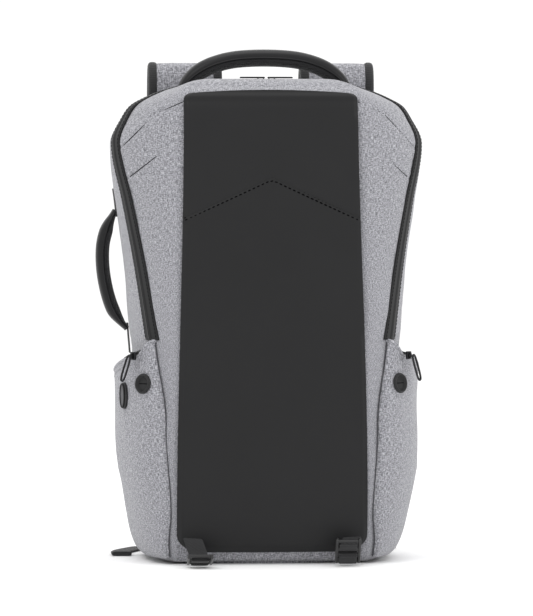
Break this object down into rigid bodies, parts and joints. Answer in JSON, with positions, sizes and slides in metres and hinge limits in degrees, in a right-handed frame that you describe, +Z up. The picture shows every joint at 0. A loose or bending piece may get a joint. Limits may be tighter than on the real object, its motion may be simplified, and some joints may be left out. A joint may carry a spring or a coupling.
{
  "type": "solar backpack",
  "caption": "Two-tone backpack with a smooth front cover over a slide-out solar panel, fold-down front, side pockets, charging port, padded handles and shoulder straps.",
  "frame": {"origin": "centre of the flat base's underside, on the floor", "axes": "+Z up, -Y out of the front cover, +X to the right as seen from the front"},
  "size_m": [0.3329, 0.2466, 0.5123],
  "materials": {
    "grey_canvas": "matte two-tone weave",
    "coated_cover": "smooth satin coating",
    "zip_tape": "coated, satin",
    "webbing": "ribbed, matte",
    "back_mesh": "air mesh, matte",
    "handle_padding": "coated above, mesh below",
    "buckle_plastic": "moulded, satin",
    "housing_plastic": "moulded, matte",
    "stiffener": "extruded sheet",
    "lining": "plain weave",
    "rubber_trim": "moulded, matte",
    "cable_jacket": "smooth, matte",
    "solar_laminate": "glossy laminate",
    "zip_metal": "black plated, satin"
  },
  "bodies": {
    "pack": {"back_pad_left": "back_mesh", "back_pad_right": "back_mesh", "base_panel": "grey_canvas", "charging_cable": "cable_jacket", "charging_port": "housing_plastic", "earphone_grommet_left": "rubber_trim", "earphone_grommet_right": "rubber_trim", "frame_sheet": "stiffener", "front_cover_lower": "coated_cover", "laptop_divider": "lining", "lash_webbing_left": "webbing", "lash_webbing_right": "webbing", "lower_shell": "grey_canvas", "lumbar_pad": "back_mesh", "pocket_zip_left": "zip_tape", "pocket_zip_right": "zip_tape", "power_bank": "housing_plastic", "rear_shell": "grey_canvas", "side_pocket_left": "grey_canvas", "side_pocket_right": "grey_canvas", "strap_webbing_left": "webbing", "strap_webbing_right": "webbing", "zip_tape_rear": "zip_tape"},
    "main_flap": {"flap_shell": "grey_canvas", "front_cover_upper": "coated_cover", "zip_tape_front": "zip_tape", "charge_controller": "housing_plastic"},
    "solar_panel": {"solar_panel": "solar_laminate", "panel_tab": "webbing"},
    "main_slider_left": {"main_slider_left": "zip_metal"},
    "main_pull_left": {"main_pull_left": "zip_metal"},
    "pocket_slider_left": {"pocket_slider_left": "zip_metal"},
    "pocket_pull_left": {"pocket_pull_left": "zip_metal"},
    "lash_buckle_left": {"lash_buckle_left": "buckle_plastic"},
    "shoulder_strap_left": {"shoulder_strap_left": "grey_canvas", "strap_buckle_left": "buckle_plastic"},
    "main_slider_right": {"main_slider_right": "zip_metal"},
    "main_pull_right": {"main_pull_right": "zip_metal"},
    "pocket_slider_right": {"pocket_slider_right": "zip_metal"},
    "pocket_pull_right": {"pocket_pull_right": "zip_metal"},
    "lash_buckle_right": {"lash_buckle_right": "buckle_plastic"},
    "shoulder_strap_right": {"shoulder_strap_right": "grey_canvas", "strap_buckle_right": "buckle_plastic"},
    "haul_handle": {"haul_handle": "handle_padding"},
    "side_handle": {"side_handle": "handle_padding"},
    "port_cap": {"port_cap": "rubber_trim"}
  },
  "joints": [
    {"name": "front_fold", "type": "hinge", "parent": "pack", "child": "main_flap", "pos_m": [0, -0.089, 0.222], "axis": [1, 0, 0], "range_deg": [0, 70]},
    {"name": "panel_slide", "type": "slide", "parent": "main_flap", "child": "solar_panel", "axis": [1, 0, 0], "range_m": [0, 0.15]},
    {"name": "main_slider_left_slide", "type": "slide", "parent": "pack", "child": "main_slider_left", "axis": [-1, 0, 0], "range_m": [0, 0.03]},
    {"name": "main_pull_left_hinge", "type": "hinge", "parent": "main_slider_left", "child": "main_pull_left", "pos_m": [-0.002, 0.00408, 0.4897], "axis": [0, 1, 0], "range_deg": [0, 80]},
    {"name": "pocket_slider_left_slide", "type": "slide", "parent": "pack", "child": "pocket_slider_left", "axis": [-0.406, 0.7234, -0.5584], "range_m": [0, 0.02]},
    {"name": "pocket_pull_left_hinge", "type": "hinge", "parent": "pocket_slider_left", "child": "pocket_pull_left", "pos_m": [-0.14011, -0.071, 0.20654], "axis": [-0.5997, 0.8002, 0], "range_deg": [0, 70]},
    {"name": "lash_buckle_left_hinge", "type": "hinge", "parent": "pack", "child": "lash_buckle_left", "pos_m": [-0.073, -0.09854, 0.004], "axis": [1, 0, 0], "range_deg": [-45, 15]},
    {"name": "shoulder_strap_left_hinge", "type": "hinge", "parent": "pack", "child": "shoulder_strap_left", "pos_m": [-0.078, 0.08, 0.46], "axis": [1, 0, 0], "range_deg": [0, 20]},
    {"name": "main_slider_right_slide", "type": "slide", "parent": "pack", "child": "main_slider_right", "axis": [1, 0, 0], "range_m": [0, 0.03]},
    {"name": "main_pull_right_hinge", "type": "hinge", "parent": "main_slider_right", "child": "main_pull_right", "pos_m": [0.002, 0.00408, 0.4897], "axis": [0, -1, 0], "range_deg": [0, 80]},
    {"name": "pocket_slider_right_slide", "type": "slide", "parent": "pack", "child": "pocket_slider_right", "axis": [0.406, 0.7234, -0.5584], "range_m": [0, 0.02]},
    {"name": "pocket_pull_right_hinge", "type": "hinge", "parent": "pocket_slider_right", "child": "pocket_pull_right", "pos_m": [0.14011, -0.071, 0.20654], "axis": [-0.5997, -0.8002, 0], "range_deg": [0, 70]},
    {"name": "lash_buckle_right_hinge", "type": "hinge", "parent": "pack", "child": "lash_buckle_right", "pos_m": [0.073, -0.09854, 0.004], "axis": [1, 0, 0], "range_deg": [0, 50]},
    {"name": "shoulder_strap_right_hinge", "type": "hinge", "parent": "pack", "child": "shoulder_strap_right", "pos_m": [0.078, 0.08, 0.46], "axis": [1, 0, 0], "range_deg": [0, 20]},
    {"name": "haul_handle_hinge", "type": "hinge", "parent": "pack", "child": "haul_handle", "pos_m": [0, 0.03, 0.4868], "axis": [1, 0, 0], "range_deg": [-30, 12]},
    {"name": "side_handle_hinge", "type": "hinge", "parent": "pack", "child": "side_handle", "pos_m": [-0.15109, 0.04099, 0.23488], "axis": [-0.0999, -0.0191, 0.9948], "range_deg": [-25, 25]},
    {"name": "port_cap_hinge", "type": "hinge", "parent": "pack", "child": "port_cap", "pos_m": [-0.1512, -0.04351, 0.16634], "axis": [0.0063, -0.0026, -1], "range_deg": [0, 110]}
  ]
}
